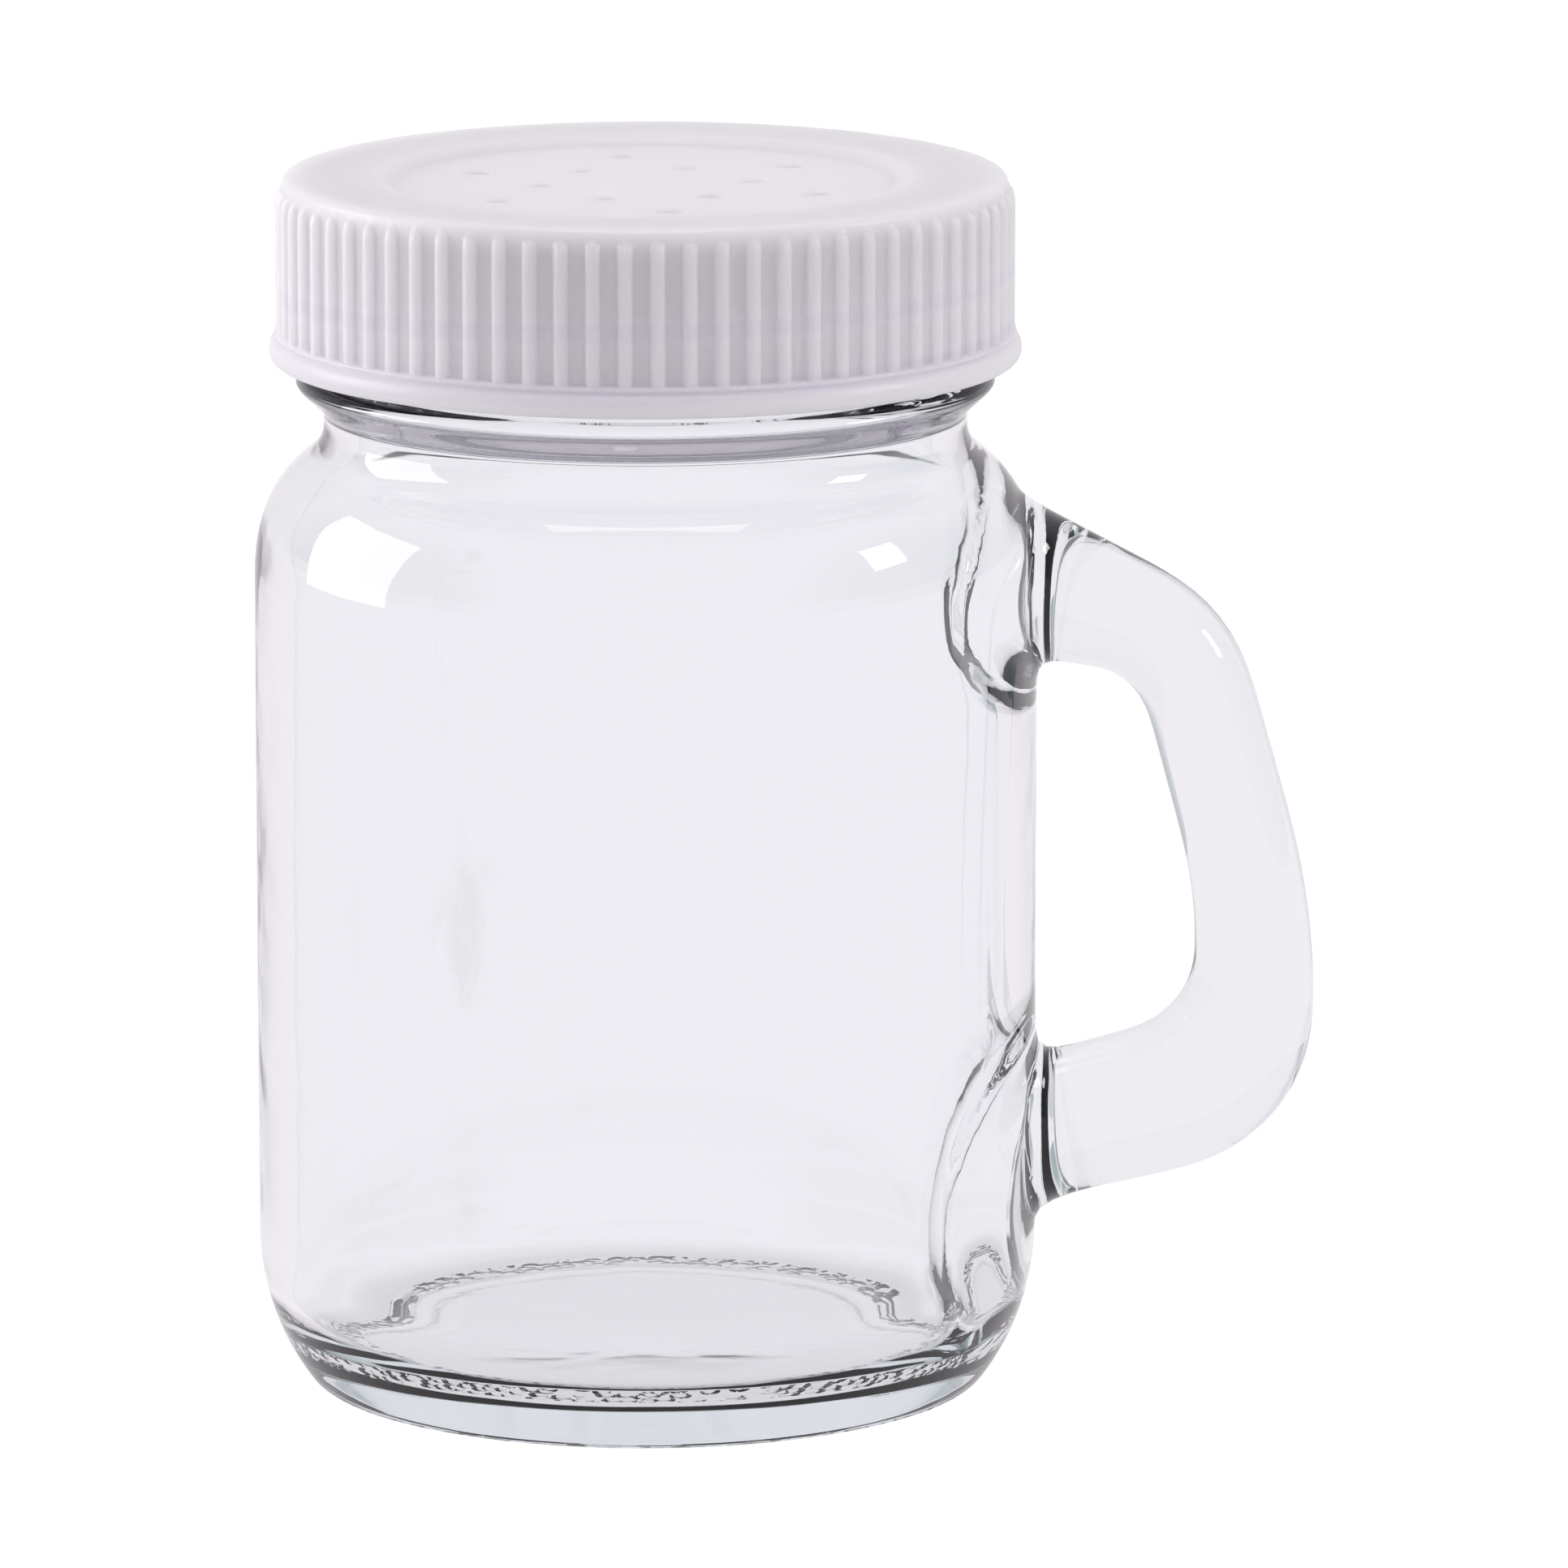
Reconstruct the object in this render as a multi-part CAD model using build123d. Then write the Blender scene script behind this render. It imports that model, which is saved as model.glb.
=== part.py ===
from build123d import *
import os
from math import acos, asin, cos, degrees, radians, sin, sqrt, tan

# Small handled glass jar with a screw-on shaker cap. Millimetres, +Z up.
# The origin is on the jar's axis, in the plane that it stands on. The handle points along +X.

# Jar body
body_radius = 27.0
wall = 2.6
shoulder_height = 57.7  # top of the straight wall
shoulder_round = 9.0
heel_height = 10.4  # foot of the straight wall
heel_round = 16.5
foot_inner_radius = 19.4  # inner edge of the ring that the jar stands on
push_up = 1.2  # how far the middle of the underside is raised
floor_height = 3.2  # inside floor at its edge
floor_crown = 0.8  # and how much higher it is in the middle
floor_round = 4.5

# Neck and finish
neck_radius = 22.15
flare_round = 2.5
neck_straight = 1.1
bead_height = 2.8  # transfer bead under the cap
bead_stand_out = 1.95
bead_slant = 1.3
bead_top_slant = 0.26
bead_nose = 0.5
finish_step = 0.5  # finish stands out from the neck by this much
finish_height = 11.2
rim_bevel = 0.6

# Handle
handle_reach = 19.35  # wall to the outside of the grip
handle_depth = 8.0  # across the bar, along Y
handle_round = 3.3
grip_width = 8.35  # in the plane of the handle
arm_drop = 3.5  # outer corner of the upper arm, under the top of the straight wall
arm_slope = 28.0
arm_inset = 5.85  # the same corner, in from the grip
arm_round = 12.0
grip_bend_height = 33.3
grip_round = 50.0
heel_bend_height = 16.4
heel_bend_round = 11.5
lower_slope = 12.5
gap_top_drop = 7.1  # finger gap at the wall, under the top of the straight wall
gap_top_slope = 8.5
gap_inset = 4.05
gap_top_round = 4.5
gap_bend_offset = 1.0
gap_bend_round = 30.0
gap_low_height = 25.5
gap_low_slope = 15.5
gap_low_round = 6.0
gap_root_round = 2.2  # coves where the bar meets the wall
gap_root_sink = 0.5  # the gap is drawn this far into the wall
root_sink = 10.0  # the bar's blank reaches this far into the wall before it is trimmed

# Cap
thread_depth = 1.05
cap_clearance = 0.25
cap_wall = 0.95
cap_top_thickness = 1.3
cap_edge_round = 0.5
cap_gap = 0.55  # skirt's lower edge above the transfer bead
lip_height = 2.1  # plain bead round the lower edge
lip_stand_out = 1.0
ledge_margin = 0.12  # ledge that the ribs stand on, past their crests
rib_count = 72
rib_height = 0.5
rib_width = 1.05
rib_crest = 0.5
rib_bite = 0.1  # ribs run this far into the wall
rib_top_drop = 0.8  # upper end of a rib at the wall, under the top of the cap
rib_top_slope = 0.9  # and how much lower it is at the crest
recess_clearance = 1.15  # raised middle under the cap, inside the jar's mouth
recess_depth = 0.8
recess_step = 0.9
hole_radius = 0.975
hole_pitch = 7.3
hole_turn = 8.0

# Seal
seal_thickness = 0.8
seal_overhang = 0.6  # seal wider than the rim's outside
seal_bore_gap = 0.75  # seal's hole wider than the raised middle under the cap

# Sizes that follow from the ones above
flare_centre_radius = neck_radius + flare_round
shoulder_reach = flare_centre_radius - body_radius + shoulder_round
shoulder_turn = acos(shoulder_reach / (shoulder_round + flare_round))
flare_top = shoulder_height + (shoulder_round + flare_round) * sin(shoulder_turn)
bead_base = flare_top + neck_straight
bead_top = bead_base + bead_height
finish_radius = neck_radius + finish_step
rim_height = bead_top + finish_height
mouth_radius = neck_radius - wall
recess_radius = mouth_radius - recess_clearance
heel_turn = asin(heel_height / heel_round)
foot_radius = body_radius - heel_round + heel_round * cos(heel_turn)
inner_radius = body_radius - wall
floor_radius = inner_radius - floor_round
grip_x = body_radius + handle_reach
cap_bore = finish_radius + thread_depth + cap_clearance
cap_radius = cap_bore + cap_wall
cap_under = rim_height + seal_thickness
cap_top = cap_under + cap_top_thickness
cap_foot = bead_top + cap_gap


def turned(outline):
    """Solid of revolution about the jar's axis, from edges drawn as radius and height."""
    return revolve(Plane.XZ * make_face(outline), Axis.Z)


def arc(centre_r, centre_z, radius, start, sweep):
    """Arc in the section plane, angles in degrees from the outward direction."""
    return CenterArc((centre_r, centre_z), radius, start, sweep)


def crown(edge_radius, edge_z, rise):
    """Shallow dome from its edge to the axis, as part of a ball centred on the axis."""
    ball_radius = (edge_radius**2 + rise**2) / (2 * rise)
    start = degrees(acos(edge_radius / ball_radius))
    return arc(0, edge_z + rise - ball_radius, ball_radius, start, 90 - start)


def jar_outside():
    """Filled outer form: foot, heel, wall, shoulder, neck, transfer bead and finish."""
    heel_degrees = degrees(heel_turn)
    shoulder_degrees = degrees(shoulder_turn)
    bead_edge = neck_radius + bead_stand_out - bead_nose
    bead_low = bead_base + bead_slant
    bead_high = bead_top - bead_top_slant
    underside = crown(foot_inner_radius, 0, push_up)
    ring = Line((foot_inner_radius, 0), (foot_radius, 0))
    heel = arc(body_radius - heel_round, heel_height, heel_round, -heel_degrees, heel_degrees)
    side = Line((body_radius, heel_height), (body_radius, shoulder_height))
    shoulder = arc(body_radius - shoulder_round, shoulder_height, shoulder_round, 0, shoulder_degrees)
    flare = arc(flare_centre_radius, flare_top, flare_round, 180, shoulder_degrees)
    neck = Line((neck_radius, flare_top), (neck_radius, bead_base))
    under_bead = Line((neck_radius, bead_base), (bead_edge, bead_low))
    nose = ThreePointArc(
        (bead_edge, bead_low),
        (bead_edge + bead_nose, (bead_low + bead_high) / 2),
        (bead_edge, bead_high),
    )
    over_bead = Line((bead_edge, bead_high), (finish_radius, bead_top))
    finish = Polyline(
        (finish_radius, bead_top),
        (finish_radius, rim_height),
        (0, rim_height),
        (0, push_up),
    )
    lower = [underside, ring, heel, side, shoulder, flare]
    upper = [neck, under_bead, nose, over_bead, finish]
    return turned(lower + upper)


def jar_hollow():
    """Space inside the jar, a wall's thickness in from the outer form."""
    shoulder_degrees = degrees(shoulder_turn)
    floor = crown(floor_radius, floor_height, floor_crown)
    corner = arc(floor_radius, floor_height + floor_round, floor_round, -90, 90)
    side = Line((inner_radius, floor_height + floor_round), (inner_radius, shoulder_height))
    centre_r = body_radius - shoulder_round
    shoulder = arc(centre_r, shoulder_height, shoulder_round - wall, 0, shoulder_degrees)
    flare = arc(flare_centre_radius, flare_top, flare_round + wall, 180, shoulder_degrees)
    mouth = Polyline(
        (mouth_radius, flare_top),
        (mouth_radius, rim_height),
        (0, rim_height),
        (0, floor_height + floor_crown),
    )
    return turned([floor, corner, side, shoulder, flare, mouth])


def glass_jar():
    jar = jar_outside() - jar_hollow()
    rim_edges = jar.edges().filter_by(GeomType.CIRCLE).group_by(Axis.Z)[-1]
    return chamfer(rim_edges, rim_bevel)


def handle_outline():
    """Outer edge of the bar, closed through the wall."""
    root_x = body_radius - root_sink
    arm_x = grip_x - arm_inset
    arm_z = shoulder_height - arm_drop
    path = FilletPolyline(
        (root_x, arm_z + (arm_x - root_x) * tan(radians(arm_slope))),
        (arm_x, arm_z),
        (grip_x, grip_bend_height),
        (grip_x, heel_bend_height),
        (root_x, heel_bend_height - (grip_x - root_x) * tan(radians(lower_slope))),
        radius=[0, arm_round, grip_round, heel_bend_round, 0],
        close=True,
    )
    return make_face(path)


def finger_gap():
    """Opening between the bar and the wall."""
    wall_x = body_radius - gap_root_sink
    inner_x = grip_x - grip_width
    corner_x = inner_x - gap_inset
    top_z = shoulder_height - gap_top_drop
    path = FilletPolyline(
        (wall_x, top_z),
        (corner_x, top_z - (corner_x - wall_x) * tan(radians(gap_top_slope))),
        (inner_x, grip_bend_height + gap_bend_offset),
        (inner_x, gap_low_height),
        (wall_x, gap_low_height - (inner_x - wall_x) * tan(radians(gap_low_slope))),
        radius=[gap_root_round, gap_top_round, gap_bend_round, gap_low_round, gap_root_round],
        close=True,
    )
    return make_face(path)


def handle():
    """Solid bar with well rounded edges, trimmed to the jar's outer form."""
    side_view = Plane.XZ.offset(-handle_depth / 2) * (handle_outline() - finger_gap())
    bar = extrude(side_view, handle_depth)
    long_edges = bar.edges().group_by(Axis.Y)
    bar = fillet(long_edges[0] + long_edges[-1], handle_round)
    return bar - jar_outside()


def cap_blank():
    """Top plate with its recess, skirt and lower lip, without ribs or holes."""
    floor_z = cap_top - recess_depth
    inner_step = recess_radius - recess_step
    lip_top = cap_foot + lip_height
    ledge_edge = cap_radius + rib_height + ledge_margin
    outer = FilletPolyline(
        (0, floor_z),
        (inner_step, floor_z),
        (recess_radius, cap_top),
        (cap_radius, cap_top),
        (cap_radius, lip_top),
        radius=[0, 0, cap_edge_round],
    )
    ledge = Line((cap_radius, lip_top), (ledge_edge, lip_top))
    lip = ThreePointArc(
        (ledge_edge, lip_top),
        (cap_radius + lip_stand_out, cap_foot + lip_height / 2),
        (ledge_edge, cap_foot),
    )
    inner = Polyline(
        (ledge_edge, cap_foot),
        (cap_bore, cap_foot),
        (cap_bore, cap_under),
        (recess_radius, cap_under),
        (inner_step, cap_under - recess_depth),
        (0, cap_under - recess_depth),
        (0, floor_z),
    )
    return turned([outer, ledge, lip, inner])


def grip_rib():
    """One upright rib with sloped flanks, standing on the ledge above the lip, with a sloped upper end."""
    foot_z = cap_foot + lip_height
    top_z = cap_top - rib_top_drop
    root_x = cap_radius - rib_bite
    crest_x = cap_radius + rib_height
    run_on = (rib_height + rib_bite) / rib_height  # flanks and end run on into the wall at the same slope
    root_width = rib_crest + (rib_width - rib_crest) * run_on
    plan = Polyline(
        (root_x, root_width / 2),
        (crest_x, rib_crest / 2),
        (crest_x, -rib_crest / 2),
        (root_x, -root_width / 2),
        close=True,
    )
    side = Polyline(
        (root_x, foot_z),
        (crest_x, foot_z),
        (crest_x, top_z - rib_top_slope),
        (root_x, top_z - rib_top_slope + rib_top_slope * run_on),
        close=True,
    )
    upright = extrude(Plane.XY.offset(foot_z) * make_face(plan), cap_top - foot_z)
    return upright & extrude(Plane.XZ.offset(-rib_width) * make_face(side), 2 * rib_width)


def grip_ribs():
    rib = grip_rib()
    return [spot * rib for spot in PolarLocations(0, rib_count, start_angle=180 / rib_count)]


def shaker_holes():
    """Six inner and six outer holes on one triangular pattern, with none in the middle."""
    drill = Cylinder(hole_radius, 3 * cap_top_thickness)
    drill = Pos(0, 0, cap_top - recess_depth - cap_top_thickness / 2) * drill
    inner = [spot * drill for spot in PolarLocations(hole_pitch, 6, start_angle=hole_turn)]
    outer = [spot * drill for spot in PolarLocations(hole_pitch * sqrt(3), 6, start_angle=hole_turn + 30)]
    return inner + outer


def shaker_cap():
    cap = cap_blank() + grip_ribs()
    return cap - shaker_holes()


def cap_seal():
    """Flat ring between the rim and the cap's underside."""
    seal = Cylinder(finish_radius + seal_overhang, seal_thickness)
    seal -= Cylinder(recess_radius + seal_bore_gap, seal_thickness)
    return Pos(0, 0, rim_height + seal_thickness / 2) * seal


def main():
    os.makedirs("parts", exist_ok=True)
    makers = [glass_jar, handle, shaker_cap, cap_seal]
    for maker in makers:
        solid = maker()
        export_step(solid, f"parts/{maker.__name__}.step")
        print(maker.__name__, round(solid.volume, 2), len(solid.solids()))


main()
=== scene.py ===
from math import cos, pi, radians, sin, sqrt, tan

import bmesh
import bpy
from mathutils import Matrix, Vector, noise


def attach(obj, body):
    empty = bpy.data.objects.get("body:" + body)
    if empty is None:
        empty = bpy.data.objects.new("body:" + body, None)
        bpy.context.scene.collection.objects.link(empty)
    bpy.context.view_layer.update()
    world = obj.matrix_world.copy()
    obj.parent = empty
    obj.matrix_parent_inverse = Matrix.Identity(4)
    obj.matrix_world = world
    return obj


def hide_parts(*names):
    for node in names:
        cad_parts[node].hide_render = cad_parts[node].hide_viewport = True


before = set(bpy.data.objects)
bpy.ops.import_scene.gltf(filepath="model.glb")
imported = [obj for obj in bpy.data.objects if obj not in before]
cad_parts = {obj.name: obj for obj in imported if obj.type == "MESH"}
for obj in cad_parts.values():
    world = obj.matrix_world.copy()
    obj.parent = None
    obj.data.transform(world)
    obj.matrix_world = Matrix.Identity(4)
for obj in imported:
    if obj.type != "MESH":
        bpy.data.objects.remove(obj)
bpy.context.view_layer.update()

# Small handled glass jar with a white screw-on shaker cap.
# Sizes in the dictionaries are millimetres, objects are metres.
mm = 0.001
scene = bpy.context.scene


# Small geometry helpers

def arcPoints(centreR, centreZ, radius, startDeg, endDeg, steps):
    # points along an arc in the section plane, both ends included
    points = []
    for i in range(steps + 1):
        a = radians(startDeg + (endDeg - startDeg) * i / steps)
        points.append((centreR + radius * cos(a), centreZ + radius * sin(a)))
    return points


def shifted(rows, baseR, baseZ):
    # rows given as distances from a named radius and height
    return [(baseR + r, baseZ + z) for r, z in rows]


def heightSteps(start, end, step):
    out, z = [], start
    while z < end:
        out.append(z)
        z += step
    return out


def smoothStep(low, high, value):
    t = min(1, max(0, (value - low) / (high - low)))
    return t * t * (3 - 2 * t)


def addRing(bm, radius, z, angles):
    return [bm.verts.new((radius * cos(a) * mm, radius * sin(a) * mm, z * mm)) for a in angles]


def bridge(bm, lower, upper, skip=()):
    # quads between two closed rings, leaving out the cells whose first column is in skip
    count = len(lower)
    for i in range(count):
        if i not in skip:
            j = (i + 1) % count
            bm.faces.new((lower[i], lower[j], upper[j], upper[i]))


def closeWithFan(bm, ring, z):
    centre = bm.verts.new((0, 0, z * mm))
    for i in range(len(ring)):
        bm.faces.new((ring[i], ring[(i + 1) % len(ring)], centre))


def newPiece(name, bm):
    bmesh.ops.recalc_face_normals(bm, faces=bm.faces)
    mesh = bpy.data.meshes.new(name)
    bm.to_mesh(mesh)
    bm.free()
    for face in mesh.polygons:
        face.use_smooth = True
    piece = bpy.data.objects.new(name, mesh)
    scene.collection.objects.link(piece)
    return piece


def roundedLegs(corners, radii):
    # a path with rounded corners, cut at the middle of each round: one dense list of points per leg
    arcSteps = 32
    legs = [[Vector(corners[0])]]
    for i, radius in enumerate(radii, start=1):
        before, corner, after = (Vector(corners[k]) for k in (i - 1, i, i + 1))
        back, on = (before - corner).normalized(), (after - corner).normalized()
        half = back.angle(on) / 2
        start = corner + back * radius / tan(half)
        centre = corner + (back + on).normalized() * radius / sin(half)
        arm = start - centre
        sweep = arm.angle_signed(corner + on * radius / tan(half) - centre)
        for k in range(arcSteps + 1):
            a = -sweep * k / arcSteps
            turned = Vector((arm.x * cos(a) - arm.y * sin(a), arm.x * sin(a) + arm.y * cos(a)))
            legs[-1].append(centre + turned)
            if k == arcSteps // 2:
                legs.append([centre + turned])
    legs[-1].append(Vector(corners[-1]))
    return legs


def spaced(points, steps):
    # points at even distances along a dense path
    runs = [(b - a).length for a, b in zip(points, points[1:])]
    total, out, done, i = sum(runs), [], 0, 0
    for k in range(steps + 1):
        want = total * k / steps
        while i < len(runs) - 1 and done + runs[i] < want:
            done += runs[i]
            i += 1
        share = min(1, (want - done) / runs[i]) if runs[i] else 0
        out.append(points[i].lerp(points[i + 1], share))
    return out


# Camera, at the photograph's angle

cameraSetup = {
    "lens": 298.5,
    "sensor": 36,
    "distance": 900,
    "elevation": 11.4,       # degrees above the table
    "aimHeight": 42,
    "sideStep": 9.53,        # the jar's axis is left of the picture's middle
    "drop": 0.39,
    "clip": (0.05, 20),      # metres
}


def makeCamera(c):
    data = bpy.data.cameras.new("camera")
    data.lens, data.sensor_width = c["lens"], c["sensor"]
    data.clip_start, data.clip_end = c["clip"]
    camera = bpy.data.objects.new("camera", data)
    scene.collection.objects.link(camera)
    e = radians(c["elevation"])
    x = c["sideStep"]
    y = -c["distance"] * cos(e) - c["drop"] * sin(e)
    z = c["aimHeight"] + c["distance"] * sin(e) - c["drop"] * cos(e)
    camera.location = Vector((x, y, z)) * mm
    camera.rotation_euler = (pi / 2 - e, 0, 0)
    scene.camera = camera
    print("camera placed")


makeCamera(cameraSetup)


# Glass jar with its handle, one closed skin

jar = {
    "columns": 72, "subdivisions": 1,
    "fit": 0.9995,           # keeps the smoothed skin just inside the modelled size
    "bodyRadius": 27.0, "wall": 2.6,
    "shoulderHeight": 57.7, "shoulderRound": 9.0, "shoulderStart": 34, "shoulderTurn": 54.67,
    "heelHeight": 10.4, "heelRound": 16.5, "heelTurn": 39.07,
    "heelTrim": 2.5, "shoulderTrim": 2, "flareTrim": 4,      # degrees left open where two rounds meet
    "footInner": 19.4, "pushUp": 0.5,
    "floorHeight": 3.2, "floorCrown": 0.8, "floorRound": 4.5,
    "neckRadius": 22.15, "flareRound": 2.5, "flareTop": 67.08,
    "finishRadius": 22.65, "finishFoot": 71.3, "finishEnd": 81.45, "finishStep": 0.36, "rimHeight": 82.18,
    "threadHeight": 0.9, "threadHalfWidth": 1.05, "threadPitch": 4.23,
    "threadFoot": 72.06, "threadTurns": 1.6,
    # rows of the skin: radii of the underside and the floor, heights on the wall and in the mouth
    "undersideRadii": (1.2, 4, 8, 12, 15.5, 17.8, 18.9),
    "floorRadii": (18.6, 16.5, 13, 9, 5, 1.5),
    "wallHeights": (25.6, 28.5, 32, 36, 40, 43.5, 46.3, 48.4),
    "mouthHeights": (81.1, 79.5, 77, 74.5, 72, 70, 68.4),
    "insideHeights": (57, 56, 55, 54, 53, 52, 51, 50.2, 49.4, 48.6, 47.8, 47, 46, 44.5, 42, 38, 33, 29, 27,
                      26, 25.2, 24.4, 23.6, 22.8, 22, 21.2, 20.4, 19.5, 18.6, 17.6, 16.4, 15.2, 14, 12.8,
                      11.6, 10.4, 9.4, 8.6),
    # ring that the jar stands on: radius and height
    "footRows": ((19.4, 0.04), (20.0, 0), (21.4, 0), (22.7, 0.02), (23.35, 0.1)),
    # transfer bead, from the neck's radius and the top of the flare
    "beadRows": ((0, 0.52), (0.02, 0.87), (0.15, 1.17), (0.65, 1.67), (1.15, 2.12), (1.6, 2.52),
                 (1.9, 2.87), (1.95, 3.12), (1.8, 3.42), (1.45, 3.67), (0.95, 3.82), (0.6, 3.97)),
    # outer edge of the rim from the finish, inner edge from the mouth, both from the rim's height
    "rimOutside": ((-0.01, -0.56), (-0.13, -0.28), (-0.4, -0.06), (-0.75, 0)),
    "rimInside": ((1.55, 0), (0.75, 0), (0.4, -0.06), (0.15, -0.23), (0.03, -0.53)),
    # hollows that the cooling glass left inside, behind each end of the handle: height, half height, half turn, depth
    "sinks": ((55.6, 6.6, 0.5, 1.9), (13.0, 11.0, 0.58, 1.7)),
    "sinkEdge": (0.7, 0.95),                # share of its half size over which a hollow rises to the wall
    "sinkRim": 0.5,                         # how far the rim round each hollow stands in
    "sinkRimSpan": (0.9, 1.02, 1.2),        # where that rim starts, is highest and ends
    "sinkRadii": (19.5, 23.5),              # hollows fade out between these, towards the floor
    # slow unevenness of the pressed surfaces, as wave length and height: inside, base
    "insideWave": (9.0, 0.024), "baseWave": (3.2, 0.03),
    "baseWaveHeights": (4, 9), "baseWaveRadii": (2, 9), "heelWaveHeights": (0.5, 9), "wavesEnd": (72, 66),
}
handle = {
    "halfDepth": 4.0, "squareness": 2.25, "swell": 1.013,
    "rootFlare": 0.6, "rootHalfDepth": 4.6,
    "outside": ((27.0, 61.38), (40.5, 54.2), (46.35, 33.3), (46.35, 16.4), (27.0, 12.11)),
    "outsideRounds": (12, 50, 11.5),
    "gap": ((27.0, 50.53), (33.95, 49.5), (38.0, 34.3), (38.0, 25.5), (27.0, 22.45)),
    "gapRounds": (4.5, 30, 6),
    "legSteps": (6, 8, 7, 7),
    "upperRows": (50.2, 52.1, 54.0, 55.9, 57.7, 59.8, 61.9),
    "lowerRows": (12.0, 13.9, 15.8, 17.7, 19.6, 21.5, 23.4),
    # how the wall's grid is evened out round each opening
    "relaxRows": 2, "relaxColumns": 5, "relaxRounds": 6, "relaxPull": 0.35,
}


def helixRidge(angle, z, foot, pitch, turns, halfWidth):
    # 0 to 1, how much of a right-hand thread's ridge is at this place
    endFade, fullness = 0.12, 1.2           # turns over which its ends fade out, shape of its section
    best = 0
    for k in range(int(turns) + 2):
        along = angle / (2 * pi) + k
        if along <= turns:
            away = abs(z - foot - pitch * along) / halfWidth
            if away < 1:
                fade = smoothStep(0, endFade, along) * smoothStep(0, endFade, turns - along)
                best = max(best, fade * cos(away * pi / 2) ** fullness)
    return best


def skinSwell(count):
    # subdivision draws a ring of this many columns in, and this makes up for it
    return 1 / (1 - (1 - cos(2 * pi / count)) / 3)


def jarRadiusAt(z):
    # radius of the jar's outside between the heel and the shoulder
    if z < jar["heelHeight"]:
        return jar["bodyRadius"] - jar["heelRound"] + sqrt(jar["heelRound"] ** 2 - (jar["heelHeight"] - z) ** 2)
    if z > jar["shoulderHeight"]:
        up = z - jar["shoulderHeight"]
        return jar["bodyRadius"] - jar["shoulderRound"] + sqrt(jar["shoulderRound"] ** 2 - up ** 2)
    return jar["bodyRadius"]


def outsideRows(j):
    # radius and height from the middle of the underside out and up to the rim
    rows = [(r, j["pushUp"] * (1 - (r / j["footInner"]) ** 2)) for r in j["undersideRadii"]]
    rows += j["footRows"]
    centre = j["bodyRadius"] - j["heelRound"]
    rows += arcPoints(centre, j["heelHeight"], j["heelRound"], j["heelTrim"] - j["heelTurn"], 0, 8)
    rows += [(j["bodyRadius"], z) for z in handle["lowerRows"] + j["wallHeights"]]
    rows += [(jarRadiusAt(z), z) for z in handle["upperRows"]]
    centre = j["bodyRadius"] - j["shoulderRound"]
    rows += arcPoints(centre, j["shoulderHeight"], j["shoulderRound"], j["shoulderStart"],
                      j["shoulderTurn"] - j["shoulderTrim"], 4)
    centre = j["neckRadius"] + j["flareRound"]
    rows += arcPoints(centre, j["flareTop"], j["flareRound"], 180 + j["shoulderTurn"] - j["flareTrim"], 180, 5)
    rows += shifted(j["beadRows"], j["neckRadius"], j["flareTop"])
    rows += [(j["finishRadius"], z) for z in heightSteps(j["finishFoot"], j["finishEnd"], j["finishStep"])]
    rows += shifted(j["rimOutside"], j["finishRadius"], j["rimHeight"])
    return rows


def insideRows(j):
    # from the rim down the inside to the middle of the floor
    mouth = j["neckRadius"] - j["wall"]
    inner = j["bodyRadius"] - j["wall"]
    turn = j["shoulderTurn"] - j["flareTrim"]
    rows = shifted(j["rimInside"], mouth, j["rimHeight"])
    rows += [(mouth, z) for z in j["mouthHeights"]]
    centre = j["neckRadius"] + j["flareRound"]
    rows += arcPoints(centre, j["flareTop"], j["flareRound"] + j["wall"], 180, 180 + turn, 5)
    centre = j["bodyRadius"] - j["shoulderRound"]
    rows += arcPoints(centre, j["shoulderHeight"], j["shoulderRound"] - j["wall"], turn, 0, 6)
    rows += [(inner, z) for z in j["insideHeights"]]
    floorRadius = inner - j["floorRound"]
    rows += arcPoints(floorRadius, j["floorHeight"] + j["floorRound"], j["floorRound"], 0, -88, 8)
    rows += [(r, j["floorHeight"] + j["floorCrown"] * (1 - (r / floorRadius) ** 2)) for r in j["floorRadii"]]
    return rows


def sinkAt(angle, z):
    # how far the hollows behind the handle's ends take the inside outwards here
    side = (angle + pi) % (2 * pi) - pi
    total = 0
    start, crest, end = jar["sinkRimSpan"]
    for height, halfHeight, halfTurn, depth in jar["sinks"]:
        away = sqrt((side / halfTurn) ** 2 + ((z - height) / halfHeight) ** 2)
        rim = smoothStep(start, crest, away) * (1 - smoothStep(crest, end, away))
        total += depth * (1 - smoothStep(*jar["sinkEdge"], away)) - jar["sinkRim"] * rim
    return total


def superPoint(angle, halfWide, halfDeep, power):
    c, s = cos(angle), sin(angle)
    u = halfWide * abs(c) ** (2 / power) * (1 if c >= 0 else -1)
    v = halfDeep * abs(s) ** (2 / power) * (1 if s >= 0 else -1)
    return u, v


def ringAngles():
    # four steps over the gap side, six over one flank, four over the outside, six over the other flank
    out = [-135 - 90 * k / 4 for k in range(4)] + [135 - 90 * k / 6 for k in range(6)]
    out += [45 - 90 * k / 4 for k in range(4)] + [-45 - 90 * k / 6 for k in range(6)]
    return [radians(a) for a in out]


def shapeRoot(ring, gapZ, outerZ):
    # moves the opening's edge in the wall to the bar's rounded section, and keeps it on the wall
    middle, half = (gapZ + outerZ) / 2, (outerZ - gapZ) / 2
    grow = handle["rootFlare"] * (1 if half > 0 else -1)
    for vert, angle in zip(ring, ringAngles()):
        u, v = superPoint(angle, half + grow, handle["rootHalfDepth"], handle["squareness"])
        z = middle + u
        radius = jarRadiusAt(z)
        vert.co = Vector((sqrt(radius ** 2 - v ** 2), v, z)) * mm


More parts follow.
